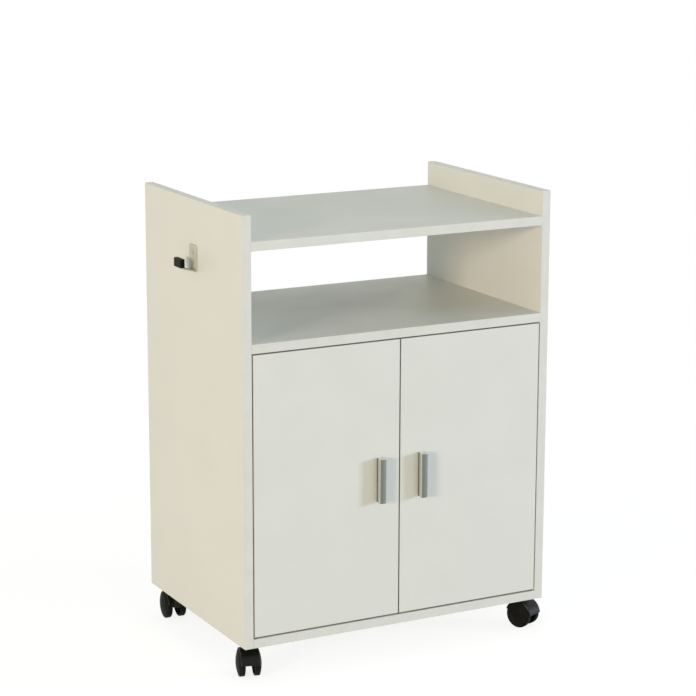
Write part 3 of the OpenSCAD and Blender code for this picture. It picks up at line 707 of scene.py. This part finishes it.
def handle(node):
    """A length of the profile: an undercut neck, a lip with flat sides and a crowned front."""
    low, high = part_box(node)
    half, reach = (high.x - low.x) / 2, high.y - low.y
    neck, neck_deep, lip_from, crown = half - 2.2 * MM, 7.4 * MM, 8.2 * MM, 1.3 * MM
    crown_radius = (half ** 2 + crown ** 2) / (2 * crown)
    lean = asin(half / crown_radius)
    front = [(crown_radius * sin(lean * i / 6), reach - crown_radius * (1 - cos(lean * i / 6)))
             for i in range(-6, 7)]
    outline = front + [(half, lip_from), (neck, neck_deep), (neck, 0),
                       (-neck, 0), (-neck, neck_deep), (-half, lip_from)]
    bm = bmesh.new()
    face = bm.faces.new([bm.verts.new(((low.x + high.x) / 2 + x, high.y - y, low.z))
                         for x, y in outline])
    grown = bmesh.ops.extrude_face_region(bm, geom=[face])["geom"]
    bmesh.ops.translate(bm, vec=(0, 0, high.z - low.z),
                        verts=[g for g in grown if isinstance(g, bmesh.types.BMVert)])
    close_up(bm)
    round_edges(bm, sharp_edges(bm, 30), 0.4 * MM, 2)
    bore, bore_deep, start = 2.05 * MM, 11 * MM, high.y + 0.5 * MM
    for shank_low, shank_high in solids(node + "_screws"):
        at = (shank_low + shank_high) / 2
        place = Matrix.LocRotScale((at.x, start, at.z), Euler((pi / 2, 0, 0)), None)
        bm = combine(bm, rod(bore, 0, bore_deep, place, 24), "DIFFERENCE")
    # Front and neck take the darker copy, as painted shade and reflection; flanks and ends the
    # lighter one, as painted light.
    for face in bm.faces:
        on_front = face.normal.y < -0.85
        on_end = abs(face.normal.z) >= 0.5
        in_neck = high.y - face.calc_center_median().y < lip_from and not on_end
        face.material_index = int(on_front or in_neck)
    return bm


# One aluminium in a lighter copy, as painted light, and a darker one, as painted shade and
# reflection.
bright = anodised_aluminium("anodised aluminium, lighter as painted light", "#D7D8D1", "#E1E2DB", (0.38, 0.46))
painted_shade_aluminium = anodised_aluminium("anodised aluminium, darker as painted shade", "#747970", "#82877E", (0.40, 0.47))
for side in ("left", "right"):
    node = side + "_handle"
    to_object(handle(node), "aluminium_" + node, side + "_door", [node],
              [bright, painted_shade_aluminium])
    screws(side + "_handle_screws", side + "_pan_screws", side + "_door",
           lambda at: (0, 1, 0), 2.5 * MM, 2 * MM, zinc)


# ---------- concealed hinges ----------
# Pressed and nickel-bright steel: a cup sunk in the door, an arm cranked round the panel's
# edge, and a plate on the panel. Cross-head screws hold all three.
def rounded_copy(node, name, body, material, radius, segments=2):
    """A node's own shape with its sharp edges rounded."""
    bm = joined_copy(node)
    round_edges(bm, sharp_edges(bm), radius, segments)
    return to_object(bm, name, body, [node], [material])


def pressed_steel():
    """Pressed steel with a bright nickel skin: smooth, warmer and glossier than the zinc."""
    material, tree = new_material("nickel-plated pressed steel")
    strain = noise(tree, 6 * MM, 3)
    return finish_material(
        material, Base_Color=blend(tree, spread(tree, strain, 0, 1), "#BDBCB6", "#D2D1CB"),
        Metallic=1.0, Roughness=spread(tree, noise(tree, 2 * MM, 3), 0.22, 0.28),
        Normal=raised(tree, strain, 0.005 * MM, 0.5))


def inwards(at):
    """From a side panel towards the middle of the cupboard."""
    return (1 if at.x < 0 else -1, 0, 0)


nickel = pressed_steel()
for side in ("left", "right"):
    for level in ("lower", "upper"):
        hinge = f"{side}_{level}_hinge_"
        rounded_copy(hinge + "plate", hinge + "base", "cart", nickel, 0.3 * MM)
        rounded_copy(hinge + "arm", hinge + "lever", "cart", nickel, 0.3 * MM)
        refinish(hinge + "cup", nickel)
    refinish(side + "_hinge_pins", zinc)
    screws(side + "_cup_screws", side + "_cup_cross_screws", side + "_door",
           lambda at: (0, 1, 0), 2 * MM, 1.75 * MM, zinc)
screws("hinge_plate_screws", "plate_cross_screws", "cart", inwards, 2 * MM, 1.75 * MM, zinc)
screws("hinge_arm_screws", "arm_cross_screws", "cart", inwards, 2.2 * MM, 2.25 * MM, zinc)


# ---------- hook ----------
# A bent steel strip, lacquered grey, screwed to the outside of the left panel. A soft black
# cap is pushed over its turned-up end.
def grey_lacquer():
    """Stoved grey lacquer on steel: satin, even, with a slight orange peel."""
    material, tree = new_material("grey stoved lacquer")
    peel = noise(tree, 1.6 * MM, 2)
    tone = spread(tree, noise(tree, 15 * MM, 3), 0, 1)
    return finish_material(
        material, Base_Color=blend(tree, tone, "#B8B9A7", "#C1C2B0"),
        Roughness=spread(tree, noise(tree, 8 * MM, 3), 0.34, 0.44), IOR=1.5,
        Normal=raised(tree, peel, 0.03 * MM, 0.6))


def soft_black_plastic():
    """Dipped black vinyl: deep black, a little soft in its gloss, with fine dust in the skin."""
    material, tree = new_material("soft black vinyl")
    dust = spread(tree, noise(tree, 2 * MM, 4), 0, 1)
    return finish_material(
        material, Base_Color=blend(tree, dust, "#0B0C08", "#12130D"),
        Roughness=spread(tree, noise(tree, 4 * MM, 3), 0.42, 0.55), Specular_IOR_Level=0.08,
        Normal=raised(tree, noise(tree, 0.6 * MM, 2), 0.02 * MM, 0.5))


lacquer = grey_lacquer()
rounded_copy("hook_strip", "hook_bent_strip", "cart", lacquer, 0.3 * MM)
screws("hook_screws", "hook_cross_screws", "cart", lambda at: (-1, 0, 0), 2 * MM, 1.75 * MM,
       lacquer, depth=0.3)
bm = joined_copy("hook_cap")
low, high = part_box("hook_cap")
rim = [e for e in sharp_edges(bm) if all(abs(v.co.z - high.z) < touching for v in e.verts)]
round_edges(bm, rim, 1.2 * MM, 4)
to_object(bm, "hook_end_cap", "cart", ["hook_cap"], [soft_black_plastic()])
